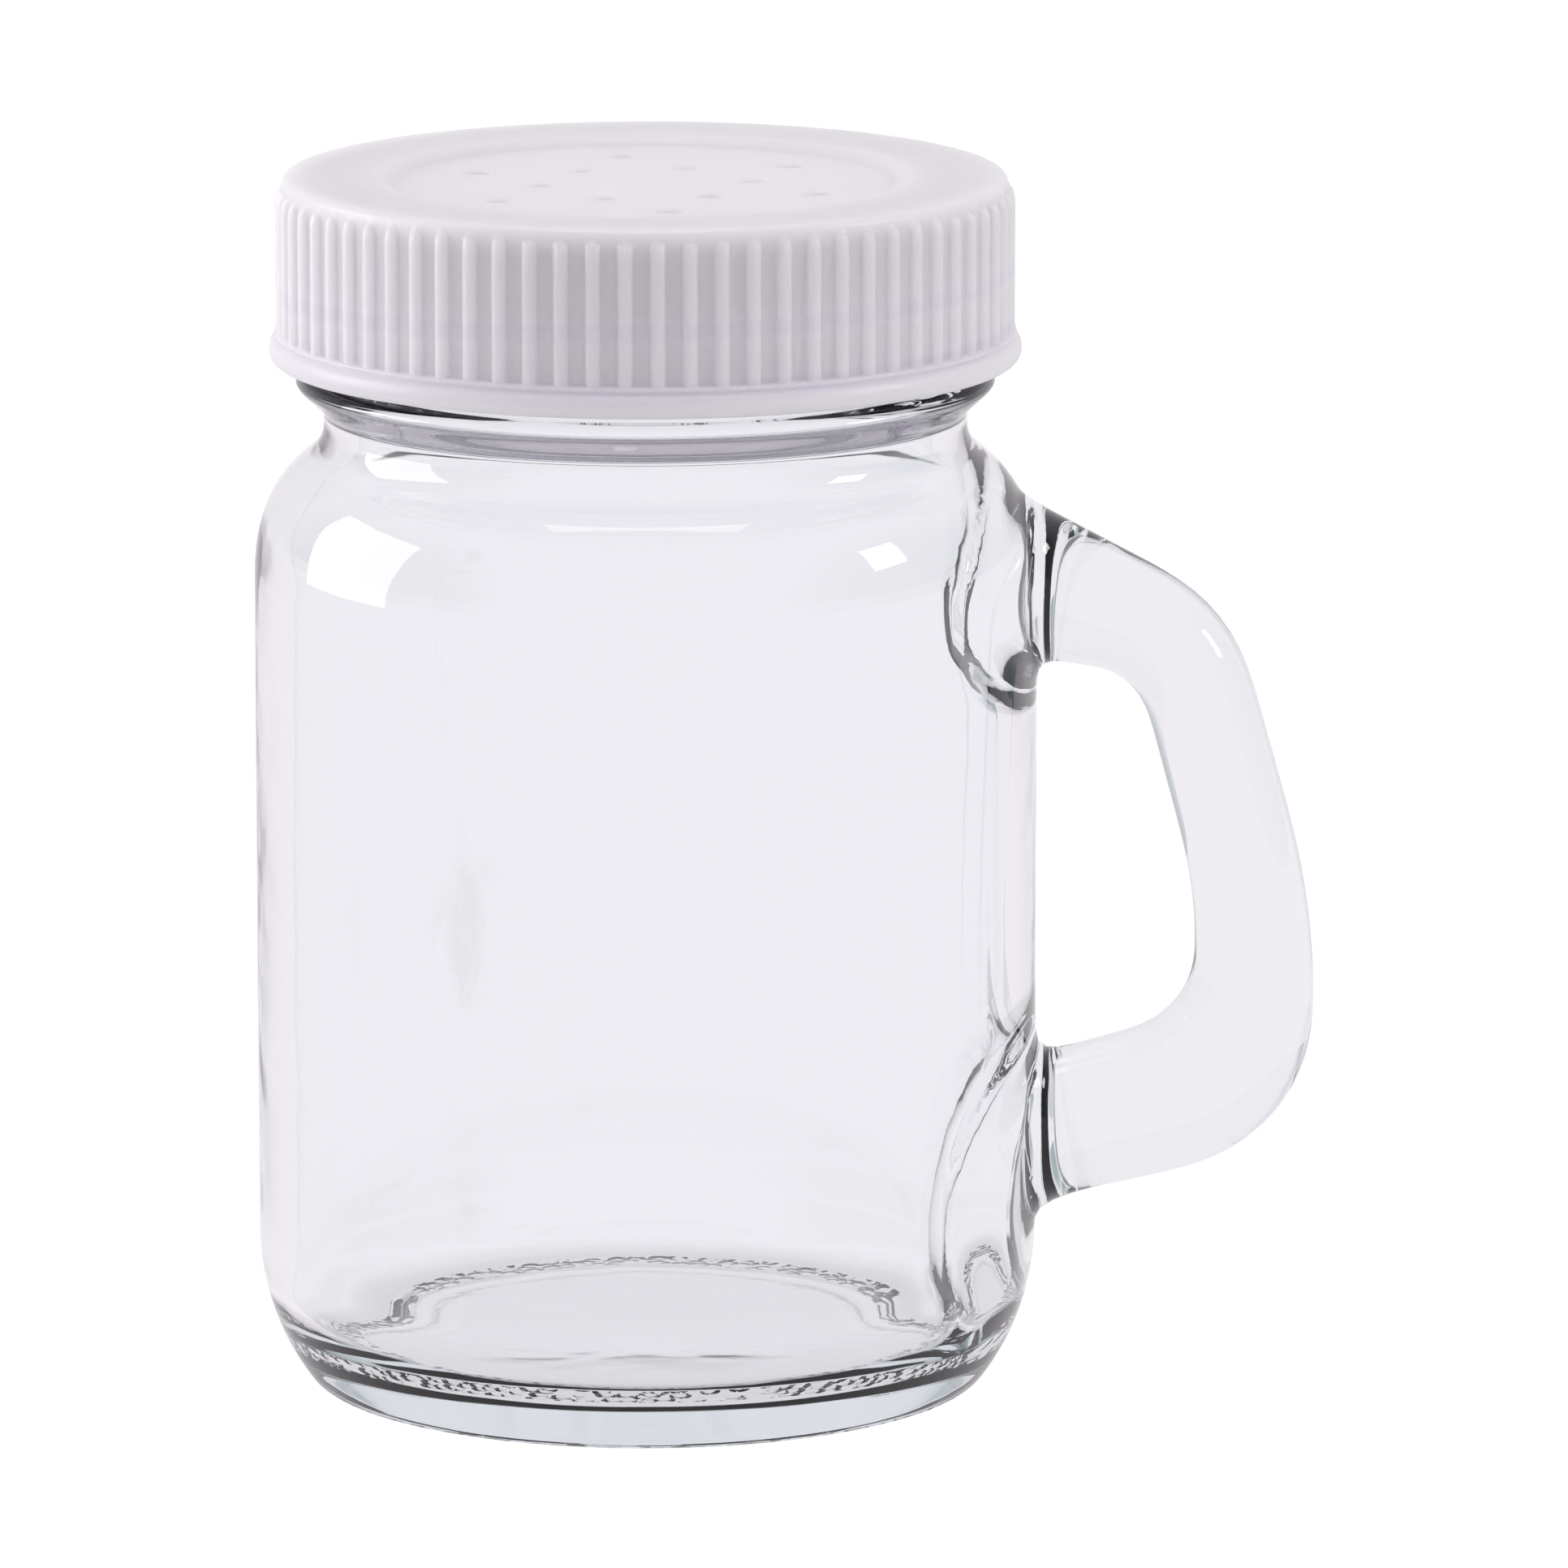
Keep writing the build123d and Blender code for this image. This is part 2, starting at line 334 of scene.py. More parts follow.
def relaxNear(bm, h, fixed, rings, low, high, count):
    # evens out the wall's grid just round each opening, and keeps it on the wall
    near = []
    for block in (low, high):
        for r in range(block[0] - h["relaxRows"], block[-1] + h["relaxRows"] + 1):
            for c in range(-h["relaxColumns"], h["relaxColumns"] + 1):
                vert = rings[r][c % count]
                if vert.link_faces and vert not in fixed:
                    near.append(vert)
    for _ in range(h["relaxRounds"]):
        moved = []
        for vert in near:
            around = [edge.other_vert(vert).co for edge in vert.link_edges]
            goal = vert.co.lerp(sum(around, Vector()) / len(around), h["relaxPull"])
            flat = Vector((goal.x, goal.y)).normalized() * jarRadiusAt(goal.z / mm) * mm * skinSwell(count)
            moved.append(Vector((flat.x, flat.y, goal.z)))
        for vert, place in zip(near, moved):
            vert.co = place
    spare = [v for v in bm.verts if not v.link_faces]
    bmesh.ops.delete(bm, geom=spare, context="VERTS")


def outsideWaved(j, place, radius):
    # the underside and the heel are slightly uneven
    length, depth = j["baseWave"]
    lowest, highest = j["heelWaveHeights"]
    if radius < j["footInner"]:
        place.z += depth * (0.8 + noise.noise(place / length)) * smoothStep(*j["baseWaveRadii"], radius)
    elif lowest < place.z < highest:
        place -= place.xy.to_3d().normalized() * depth * 0.5 * abs(noise.noise(place / length))
    return place


def insideWaved(j, place, radius):
    # the inside is slightly uneven, with shorter waves on the floor and none in the mouth
    out = place.xy.to_3d().normalized()
    nearBase = (1 - smoothStep(*j["baseWaveHeights"], place.z)) * smoothStep(*j["baseWaveRadii"], radius)
    length, depth = j["insideWave"]
    calm = smoothStep(*j["wavesEnd"], place.z)
    place += out * depth * (1 - nearBase) * noise.noise(place / length) * calm
    length, depth = j["baseWave"]
    place += (out * 0.5 + Vector((0, 0, 1))) * depth * nearBase * noise.noise(place / length)
    return place


def makeGlass(j, h):
    bm = bmesh.new()
    count = j["columns"]
    angles = [2 * pi * i / count for i in range(count)]
    rows = outsideRows(j)
    low = [i for i, row in enumerate(rows) if row[1] in h["lowerRows"] and row[0] == j["bodyRadius"]]
    high = [i for i, row in enumerate(rows) if row[1] in h["upperRows"] and i > low[-1]]
    swell = j["fit"] * skinSwell(count)
    rings = []
    for radius, z in rows:
        ring = []
        for a in angles:
            r = radius
            if z >= j["finishFoot"] and radius == j["finishRadius"]:
                r += j["threadHeight"] * helixRidge(a, z, j["threadFoot"], j["threadPitch"],
                                                    j["threadTurns"], j["threadHalfWidth"])
            place = Vector((r * swell * cos(a), r * swell * sin(a), z))
            ring.append(bm.verts.new(outsideWaved(j, place, radius) * mm))
        rings.append(ring)
    openCells = (count - 2, count - 1, 0, 1)
    for i in range(len(rings) - 1):
        opened = low[0] <= i < low[-1] or high[0] <= i < high[-1]
        bridge(bm, rings[i], rings[i + 1], openCells if opened else ())
    inner = []
    for radius, z in insideRows(j):
        ring = []
        for a in angles:
            r = radius * swell + sinkAt(a, z) * smoothStep(*j["sinkRadii"], radius)
            place = Vector((r * cos(a), r * sin(a), z))
            ring.append(bm.verts.new(insideWaved(j, place, radius) * mm))
        inner.append(ring)
    bridge(bm, rings[-1], inner[0])
    for i in range(len(inner) - 1):
        bridge(bm, inner[i], inner[i + 1])
    closeWithFan(bm, rings[0], j["pushUp"])
    closeWithFan(bm, inner[-1], j["floorHeight"] + j["floorCrown"])

    # edge of each opening, starting at the gap side and going round by +Y
    def edgeOf(rowIndex):
        columns = [count - 2, count - 1, 0, 1, 2]
        edge = [rings[rowIndex[0]][c] for c in columns]
        edge += [rings[r][2] for r in rowIndex[1:]]
        edge += [rings[rowIndex[-1]][c] for c in (1, 0, count - 1, count - 2)]
        edge += [rings[r][count - 2] for r in reversed(rowIndex[1:-1])]
        return edge

    upperEdge, lowerEdge = edgeOf(high), edgeOf(list(reversed(low)))
    shapeRoot(upperEdge, h["gap"][0][1], h["outside"][0][1])
    shapeRoot(lowerEdge, h["gap"][-1][1], h["outside"][-1][1])
    relaxNear(bm, h, set(upperEdge + lowerEdge), rings, low, high, count)

    stations = []
    outer = roundedLegs(h["outside"], h["outsideRounds"])
    gap = roundedLegs(h["gap"], h["gapRounds"])
    for legOut, legGap, steps in zip(outer, gap, h["legSteps"]):
        pairs = list(zip(spaced(legOut, steps), spaced(legGap, steps)))
        stations += pairs[1:] if stations else pairs
    previous = upperEdge
    for out, near in stations[1:-1]:
        middle, across = (out + near) / 2, (out - near) / 2
        half = across.length * h["swell"]
        across.normalize()
        ring = []
        for angle in ringAngles():
            u, v = superPoint(angle, half, h["halfDepth"] * h["swell"], h["squareness"])
            ring.append(bm.verts.new(Vector((middle.x + across.x * u, v, middle.y + across.y * u)) * mm))
        bridge(bm, previous, ring)
        previous = ring
    bridge(bm, previous, lowerEdge)
    piece = newPiece("jarGlass", bm)
    smooth = piece.modifiers.new("smooth", "SUBSURF")
    smooth.levels = smooth.render_levels = j["subdivisions"]
    smoothed = bpy.data.meshes.new_from_object(piece.evaluated_get(bpy.context.evaluated_depsgraph_get()))
    piece.modifiers.clear()
    piece.data = smoothed
    print("glass jar made:", len(smoothed.polygons), "faces")
    return piece


glassPiece = makeGlass(jar, handle)


# Screw-on cap

cap = {
    "radius": 24.9, "bore": 23.95, "under": 82.98, "top": 84.28, "edgeRound": 0.5,
    "ribs": 72, "ribHeight": 0.5, "ribHalf": 0.53, "ribTop": 83.45, "ribFade": 0.95, "ribTurn": 2.5,
    "recessRadius": 18.4, "recessDepth": 0.6, "recessStep": 1.5, "discRadius": 16.4, "discEdge": 0.25,
    "threadHeight": 0.9, "threadHalfWidth": 0.85, "threadPitch": 4.23, "threadFoot": 72.06, "threadTurns": 1.45,
    "holeRadius": 0.975, "holeEdge": 0.22, "holeCollar": 0.3, "holePitch": 7.3, "holeTurn": 8.0,
    "holePoints": 36,
    # columns of the skin over one rib, as distances from its middle
    "ribPlaces": (-1.08, -0.68, -0.53, -0.46, -0.33, -0.17, 0, 0.17, 0.33, 0.46, 0.53, 0.68),
    # rows: rim of the top as radius and height from the top, a rib's upper end as drops, its length as heights
    "plateRows": ((18.8, 0), (21.5, 0), (23.9, -0.01)),
    "ribDrops": (0.02, 0.08, 0.18, 0.32, 0.5, 0.72, 0.95),
    "ribHeights": (80.5, 78.5, 76.5, 75, 74.2, 73.85, 73.72),
    # under the ribs, as radius and height: a thin edge, a fine groove and the smooth lip
    "lipRows": ((25.42, 73.66), (25.5, 73.61), (25.52, 73.52), (25.46, 73.42), (25.34, 73.36),
                (25.33, 73.28), (25.42, 73.2), (25.58, 73.12),
                (25.73, 72.98), (25.83, 72.78), (25.88, 72.5), (25.87, 72.2), (25.8, 71.95), (25.66, 71.74),
                (25.44, 71.59), (25.2, 71.54), (24.7, 71.53), (24.25, 71.53), (24.05, 71.6), (23.95, 71.75)),
    "boreFoot": 71.95, "boreEnd": 82.6, "boreStep": 0.36,
    # corner inside, between the bore and the underside
    "cornerRows": ((23.95, 82.7), (23.87, 82.9), (23.65, 82.98), (21, 82.98), (18.9, 82.98)),
}


def capColumns(c):
    # angles round the cap, closer together over each rib: (angle, height of the rib there, 0 to 1)
    columns = []
    for k in range(c["ribs"]):
        centre = radians(c["ribTurn"] + 360 / c["ribs"] * k)
        for place in c["ribPlaces"]:
            share = max(0, 1 - (place / c["ribHalf"]) ** 2)
            columns.append((centre + place / c["radius"], sqrt(share)))
    return columns


def capOutsideRows(c):
    # radius, height and how far the ribs stand out there, from the recess's floor outward and down
    floorZ = c["top"] - c["recessDepth"]
    rows = [(c["discRadius"], floorZ), (c["discRadius"] + c["discEdge"], floorZ)]
    start, steps = c["recessRadius"] - c["recessStep"], 8
    for k in range(steps + 1):
        t = k / steps
        rows.append((start + c["recessStep"] * t, floorZ + c["recessDepth"] * smoothStep(0, 1, t)))
    rows += shifted(c["plateRows"], 0, c["top"])
    e = c["edgeRound"]
    rows += arcPoints(c["radius"] - e, c["top"] - e, e, 84, 0, 6)
    rows = [(r, z, 0) for r, z in rows]
    for drop in c["ribDrops"]:
        share = sqrt(max(0, 1 - (1 - drop / c["ribFade"]) ** 2))
        rows.append((c["radius"], c["ribTop"] - drop, share))
    rows += [(c["radius"], z, 1) for z in c["ribHeights"]]
    return rows


def capInsideRows(c):
    rows = [(c["bore"], z) for z in heightSteps(c["boreFoot"], c["boreEnd"], c["boreStep"])]
    rows += c["cornerRows"]
    floorZ = c["under"] - c["recessDepth"]
    start, steps = c["recessRadius"] - c["recessStep"], 6
    for k in range(steps + 1):
        t = 1 - k / steps
        rows.append((start + c["recessStep"] * t, c["under"] - c["recessDepth"] * (1 - smoothStep(0, 1, t))))
    rows += [(c["discRadius"] + c["discEdge"], floorZ), (c["discRadius"], floorZ)]
    return rows


def holeCentres(c):
    places = []
    for radius, turn in ((c["holePitch"], c["holeTurn"]), (c["holePitch"] * sqrt(3), c["holeTurn"] + 30)):
        for k in range(6):
            a = radians(turn + 60 * k)
            places.append((radius * cos(a), radius * sin(a)))
    return places


def fillDisc(bm, outline, holeRings):
    edges = []
    for ring in [outline] + holeRings:
        for i in range(len(ring)):
            a, b = ring[i], ring[(i + 1) % len(ring)]
            edges.append(bm.edges.get((a, b)) or bm.edges.new((a, b)))
    bmesh.ops.triangle_fill(bm, use_beauty=True, use_dissolve=False, edges=edges)


def makeHoles(bm, c):
    # walls of the holes with soft edges: gives the rings that meet the top's and the underside's discs
    topZ, underZ = c["top"] - c["recessDepth"], c["under"] - c["recessDepth"]
    turns = [2 * pi * k / c["holePoints"] for k in range(c["holePoints"])]
    r, e = c["holeRadius"], c["holeEdge"]
    profile = [(r + e + c["holeCollar"], topZ), (r + e, topZ)]
    profile += [(r + e - e * sin(a), topZ - e + e * cos(a)) for a in (pi / 6, pi / 3, pi / 2)]
    profile += [(r + e - e * sin(a), underZ + e - e * cos(a)) for a in (pi / 2, pi / 3, pi / 6)]
    profile += [(r + e, underZ), (r + e + c["holeCollar"], underZ)]
    topRings, underRings = [], []
    for x, y in holeCentres(c):
        stack = [[bm.verts.new(((x + q * cos(t)) * mm, (y + q * sin(t)) * mm, z * mm)) for t in turns]
                 for q, z in profile]
        for i in range(len(stack) - 1):
            bridge(bm, stack[i], stack[i + 1])
        topRings.append(stack[0])
        underRings.append(stack[-1])
    return topRings, underRings


def makeCap(c):
    bm = bmesh.new()
    columns = capColumns(c)
    angles = [a for a, rib in columns]
    rings = []
    for radius, z, share in capOutsideRows(c):
        ring = []
        for a, rib in columns:
            # the ribs' upper ends are round: the sides of a rib start lower than its middle
            stand = c["ribHeight"] * (max(0, rib + share - 1) if 0 < share < 1 else rib * share)
            r = radius + stand
            ring.append(bm.verts.new((r * cos(a) * mm, r * sin(a) * mm, z * mm)))
        rings.append(ring)
    rings += [addRing(bm, r, z, angles) for r, z in c["lipRows"]]
    for radius, z in capInsideRows(c):
        ring = []
        for a in angles:
            r = radius
            if radius == c["bore"]:
                r -= c["threadHeight"] * helixRidge(a % (2 * pi), z, c["threadFoot"] + c["threadPitch"] / 2,
                                                    c["threadPitch"], c["threadTurns"], c["threadHalfWidth"])
            ring.append(bm.verts.new((r * cos(a) * mm, r * sin(a) * mm, z * mm)))
        rings.append(ring)
    for i in range(len(rings) - 1):
        bridge(bm, rings[i], rings[i + 1])
    topRings, underRings = makeHoles(bm, c)
    fillDisc(bm, rings[0], topRings)
    fillDisc(bm, rings[-1], underRings)
    piece = newPiece("shakerCap", bm)
    print("cap made:", len(piece.data.polygons), "faces")
    return piece


capPiece = makeCap(cap)


# Seal between the rim and the cap

seal = {"inner": 19.15, "outer": 23.25, "low": 82.182, "high": 82.98, "edge": 0.18, "columns": 144}


def makeSeal(s):
    bm = bmesh.new()
    angles = [2 * pi * i / s["columns"] for i in range(s["columns"])]
    e = s["edge"]
    outer, inner, low, high = s["outer"] - e, s["inner"] + e, s["low"] + e, s["high"] - e
    section = []
    for r, z, start in ((outer, low, -90), (outer, high, 0), (inner, high, 90), (inner, low, 180)):
        section += arcPoints(r, z, e, start, start + 90, 3)
    rings = [addRing(bm, r, z, angles) for r, z in section]
    for i in range(len(rings)):
        bridge(bm, rings[i], rings[(i + 1) % len(rings)])
    piece = newPiece("capSeal", bm)
    print("seal made")
    return piece


sealPiece = makeSeal(seal)


# Small node helpers

def plug(links, socket, value):
    # another node's output, or a plain value, into a socket
    if isinstance(value, bpy.types.NodeSocket):
        links.new(value, socket)
    elif value is not None:
        socket.default_value = value


def maths(nodes, links, operation, first, second=None, third=None):
    node = nodes.new("ShaderNodeMath")
    node.operation = operation
    for socket, value in zip(node.inputs, (first, second, third)):
        plug(links, socket, value)
    return node.outputs[0]


def mapRange(nodes, links, value, low, high, toLow=0, kind="SMOOTHSTEP"):
    node = nodes.new("ShaderNodeMapRange")
    node.interpolation_type = kind
    for name, number in (("From Min", low), ("From Max", high), ("To Min", toLow)):
        node.inputs[name].default_value = number
    links.new(value, node.inputs["Value"])
    return node.outputs[0]


def mixColour(nodes, links, factor, first, second, blend="MIX"):
    node = nodes.new("ShaderNodeMix")
    node.data_type = "RGBA"
    node.blend_type = blend
    for name, value in (("Factor", factor), ("A", first), ("B", second)):
        plug(links, node.inputs[name], value)
    return node.outputs["Result"]


def mixShader(nodes, links, factor, first, second):
    node = nodes.new("ShaderNodeMixShader")
    for socket, value in zip(node.inputs, (factor, first, second)):
        links.new(value, socket)
    return node.outputs[0]


def objectPlace(nodes, links):
    # a point's place on its own object, whole and as its X, Y and Z
    place, apart = nodes.new("ShaderNodeTexCoord"), nodes.new("ShaderNodeSeparateXYZ")
    links.new(place.outputs["Object"], apart.inputs[0])
    return place.outputs["Object"], apart.outputs


def grey(value):
    return (value, value, value, 1)


# Shared node group: the skin of a moulded or pressed surface, with slow waves and fine grain

def makeMouldedSkin():
    group = bpy.data.node_groups.new("mouldedSkin", "ShaderNodeTree")
    for kind, name, value in (
        ("NodeSocketColor", "Colour", (0.8, 0.8, 0.8, 1)),
        ("NodeSocketColor", "Colour Low", (0.7, 0.7, 0.7, 1)),
        ("NodeSocketFloat", "Wave Scale", 60),
        ("NodeSocketFloat", "Grain Scale", 1500),
        ("NodeSocketFloat", "Grain Share", 0.2),
        ("NodeSocketFloat", "Roughness", 0.3),
        ("NodeSocketFloat", "Roughness Spread", 0.1),
    ):
        group.interface.new_socket(name=name, in_out="INPUT", socket_type=kind).default_value = value
    for kind, name in (("Color", "Colour"), ("Float", "Roughness"), ("Float", "Height")):
        group.interface.new_socket(name=name, in_out="OUTPUT", socket_type="NodeSocket" + kind)
    nodes, links = group.nodes, group.links
    start, end = nodes.new("NodeGroupInput"), nodes.new("NodeGroupOutput")
    place = nodes.new("ShaderNodeTexCoord")
    textures = []
    for scaleName, detail in (("Wave Scale", 2), ("Grain Scale", 3)):
        texture = nodes.new("ShaderNodeTexNoise")
        texture.inputs["Detail"].default_value = detail
        links.new(place.outputs["Object"], texture.inputs["Vector"])
        links.new(start.outputs[scaleName], texture.inputs["Scale"])
        textures.append(texture.outputs["Fac"])
    waves, grain = textures
    tint = mixColour(nodes, links, waves, start.outputs["Colour Low"], start.outputs["Colour"])
    links.new(tint, end.inputs["Colour"])
    spread = maths(nodes, links, "MULTIPLY_ADD", grain, start.outputs["Roughness Spread"], start.outputs["Roughness"])
    links.new(spread, end.inputs["Roughness"])
    height = nodes.new("ShaderNodeMix")
    for name, value in (("Factor", start.outputs["Grain Share"]), ("A", waves), ("B", grain)):
        links.new(value, height.inputs[name])
    links.new(height.outputs["Result"], end.inputs["Height"])
    return group


mouldedSkin = makeMouldedSkin()


def startMaterial(name, finish):
    # a material with a Principled shader and its own copy of the shared skin's values
    material = bpy.data.materials.new(name)
    material.use_nodes = True
    nodes, links = material.node_tree.nodes, material.node_tree.links
    shader, out = nodes["Principled BSDF"], nodes["Material Output"]
    skin = nodes.new("ShaderNodeGroup")
    skin.node_tree = mouldedSkin
    for key, value in finish["skin"].items():
        skin.inputs[key].default_value = value
    bump = nodes.new("ShaderNodeBump")
    bump.inputs["Distance"].default_value = finish["bump"]
    links.new(skin.outputs["Height"], bump.inputs["Height"])
    links.new(bump.outputs["Normal"], shader.inputs["Normal"])
    links.new(skin.outputs["Colour"], shader.inputs["Base Color"])
    links.new(skin.outputs["Roughness"], shader.inputs["Roughness"])
    return material, nodes, links, shader, out, skin, bump


# Clear glass

glassFinish = {
    "skin": {"Colour": (0.985, 0.992, 1.0, 1), "Colour Low": (0.975, 0.985, 0.99, 1), "Wave Scale": 85,
             "Grain Scale": 700, "Grain Share": 0.0, "Roughness": 0.0, "Roughness Spread": 0.006},
    "ior": 1.515, "bump": 0.00006,
    "absorbColour": (0.52, 0.67, 0.71, 1), "absorbDensity": 9.0,
    "shadowColour": (0.97, 0.975, 0.98, 1),
    # raised dots on the ring that the jar stands on
    "stippleRadius": 21.9, "stippleHalfWidth": 1.6, "stippleTop": 1.1,
    "stippleScale": 800, "stippleSteepness": 2.4, "stippleDepth": 0.0006,
}


def makeGlassMaterial(g):
    material, nodes, links, shader, out, skin, bump = startMaterial("pressedClearGlass", g)
    shader.inputs["Transmission Weight"].default_value = 1
    shader.inputs["IOR"].default_value = g["ior"]

    place, apart = objectPlace(nodes, links)
    cells = nodes.new("ShaderNodeTexVoronoi")
    cells.inputs["Scale"].default_value = g["stippleScale"]
    links.new(place, cells.inputs["Vector"])
    across = maths(nodes, links, "MULTIPLY", apart["X"], apart["X"])
    radial = maths(nodes, links, "SQRT", maths(nodes, links, "MULTIPLY_ADD", apart["Y"], apart["Y"], across))
    offRing = maths(nodes, links, "ABSOLUTE", maths(nodes, links, "SUBTRACT", radial, g["stippleRadius"] * mm))
    ring = maths(nodes, links, "LESS_THAN", offRing, g["stippleHalfWidth"] * mm)
    lowDown = maths(nodes, links, "LESS_THAN", apart["Z"], g["stippleTop"] * mm)
    mask = maths(nodes, links, "MULTIPLY", ring, lowDown)
    reach = maths(nodes, links, "MULTIPLY", cells.outputs["Distance"], g["stippleSteepness"])
    domes = maths(nodes, links, "MAXIMUM", maths(nodes, links, "COSINE", reach), 0)
    stipple = nodes.new("ShaderNodeBump")
    stipple.inputs["Distance"].default_value = g["stippleDepth"]
    links.new(maths(nodes, links, "MULTIPLY", domes, mask), stipple.inputs["Height"])
    links.new(bump.outputs["Normal"], stipple.inputs["Normal"])
    links.new(stipple.outputs["Normal"], shader.inputs["Normal"])

    # lamps reach through the glass
    path = nodes.new("ShaderNodeLightPath")
    clear = nodes.new("ShaderNodeBsdfTransparent")
    clear.inputs["Color"].default_value = g["shadowColour"]
    surface = mixShader(nodes, links, path.outputs["Is Shadow Ray"], shader.outputs[0], clear.outputs[0])
    links.new(surface, out.inputs["Surface"])
    absorb = nodes.new("ShaderNodeVolumeAbsorption")
    absorb.inputs["Color"].default_value = g["absorbColour"]
    absorb.inputs["Density"].default_value = g["absorbDensity"]
    links.new(absorb.outputs[0], out.inputs["Volume"])
    return material


# White moulded plastic, with a painted shade band along the inner thread's helix on the skirt, standing in for the
# thread's shadow seen through the plastic

capFinish = {
    "skin": {"Colour": (0.9, 0.825, 0.985, 1), "Colour Low": (0.875, 0.8, 0.96, 1), "Wave Scale": 140,
             "Grain Scale": 2600, "Grain Share": 0.55, "Roughness": 0.3, "Roughness Spread": 0.14},
    "ior": 1.49, "bump": 0.00004,
    # painted shade: colour and strength of the darker band where the thread's shadow shows through the skirt
    "paintedThreadShade": (0.7, 0.655, 0.74, 1), "paintedThreadShadeAmount": 0.34,
    "paintedThreadShadeBand": (0.22, 0.06),        # share of the pitch, from the thread's edge to its middle
    "paintedThreadShadeTop": (79.2, 77.6),         # it fades out between these heights
    "subsurface": 1.0, "subsurfaceRadius": (1, 0.95, 1), "subsurfaceScale": 0.0038,
}


def makeCapMaterial(f, c):
    material, nodes, links, shader, out, skin, bump = startMaterial("whiteMouldedPlastic", f)
    shader.inputs["Subsurface Weight"].default_value = f["subsurface"]
    shader.inputs["Subsurface Radius"].default_value = f["subsurfaceRadius"]
    shader.inputs["Subsurface Scale"].default_value = f["subsurfaceScale"]
    shader.inputs["IOR"].default_value = f["ior"]
    place, apart = objectPlace(nodes, links)
    # painted shade: the base colour is darkened in a helical band that follows the thread inside, for its shadow seen
    # through the skirt
    angle = maths(nodes, links, "ARCTAN2", apart["Y"], apart["X"])
    rise = maths(nodes, links, "MULTIPLY", angle, -1 / (2 * pi))
    foot = (c["threadFoot"] + c["threadPitch"] / 2) * mm
    turns = maths(nodes, links, "SUBTRACT", apart["Z"], foot)
    turns = maths(nodes, links, "DIVIDE", turns, c["threadPitch"] * mm)
    away = maths(nodes, links, "PINGPONG", maths(nodes, links, "ADD", turns, rise), 0.5)
    band = mapRange(nodes, links, away, *f["paintedThreadShadeBand"])
    high, low = f["paintedThreadShadeTop"]
    onSkirt = mapRange(nodes, links, apart["Z"], high * mm, low * mm, kind="LINEAR")
    amount = maths(nodes, links, "MULTIPLY", band, onSkirt)
    amount = maths(nodes, links, "MULTIPLY", amount, f["paintedThreadShadeAmount"])
    shade = mixColour(nodes, links, amount, skin.outputs["Colour"], f["paintedThreadShade"])
    links.new(shade, shader.inputs["Base Color"])
    return material


# Soft foamed liner of the seal

sealFinish = {
    "skin": {"Colour": (0.78, 0.78, 0.8, 1), "Colour Low": (0.7, 0.7, 0.72, 1), "Wave Scale": 200,
             "Grain Scale": 3000, "Grain Share": 0.8, "Roughness": 0.6, "Roughness Spread": 0.25},
    "bump": 0.00008,
}

for piece, material, body, slotName, nodeNames in (
    (glassPiece, makeGlassMaterial(glassFinish), "jar", "clear_glass", ("glass_jar", "handle")),
    (capPiece, makeCapMaterial(capFinish, cap), "cap", "white_plastic", ("shaker_cap",)),
    (sealPiece, startMaterial("foamedLiner", sealFinish)[0], "seal", "seal_rubber", ("cap_seal",)),
):
    piece.data.materials.append(material)
    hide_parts(*nodeNames)
    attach(piece, body)
print("materials placed")


# Pale floor, white surroundings and soft light

studio = {
    "floorSize": 6.0, "floorDrop": 0.00002,
    "floorCameraGlow": 0.79, "floorCameraDiffuse": 0.3, "floorDiffuse": (0.9, 0.9, 0.9, 1),
    # what the glass shows of the floor, with a painted shadow that makes it a little darker under the jar: out to the
    # first radius, gone at the second
    "floorGlassGlow": (0.914, 0.88, 0.918, 1), "paintedUnderJarShadow": 0.78, "paintedShadowRadii": (0.023, 0.031),
    # what the glass shows of the room: white behind, in front and above, darker to the sides
    "worldGlass": (0.93, 0.90, 0.94, 1), "worldDark": (0.38, 0.46, 0.465, 1), "worldDarkFrom": (0.62, 0.92),
    "worldGloss": 0.95, "worldDiffuse": 0.37,
    "lampAim": (0, 0, 0.045),
    # name, place in metres, size in metres, watts, seen in reflections
    "lamps": (
        ("topBox", (0.0, 0.05, 0.75), 0.5, 1.55, True),
        ("leftBox", (-0.72, 0.1, 0.24), 0.5, 2.9, True),
        ("rightBox", (0.8, -0.14, 0.42), 0.2, 1.6, True),
        ("backBox", (0.1, 0.8, 0.35), 0.6, 0.8, False),
        ("frontBox", (0.25, -0.95, 0.55), 0.5, 1.1, False),
    ),
    "bounces": 18, "clearBounces": 16,
}


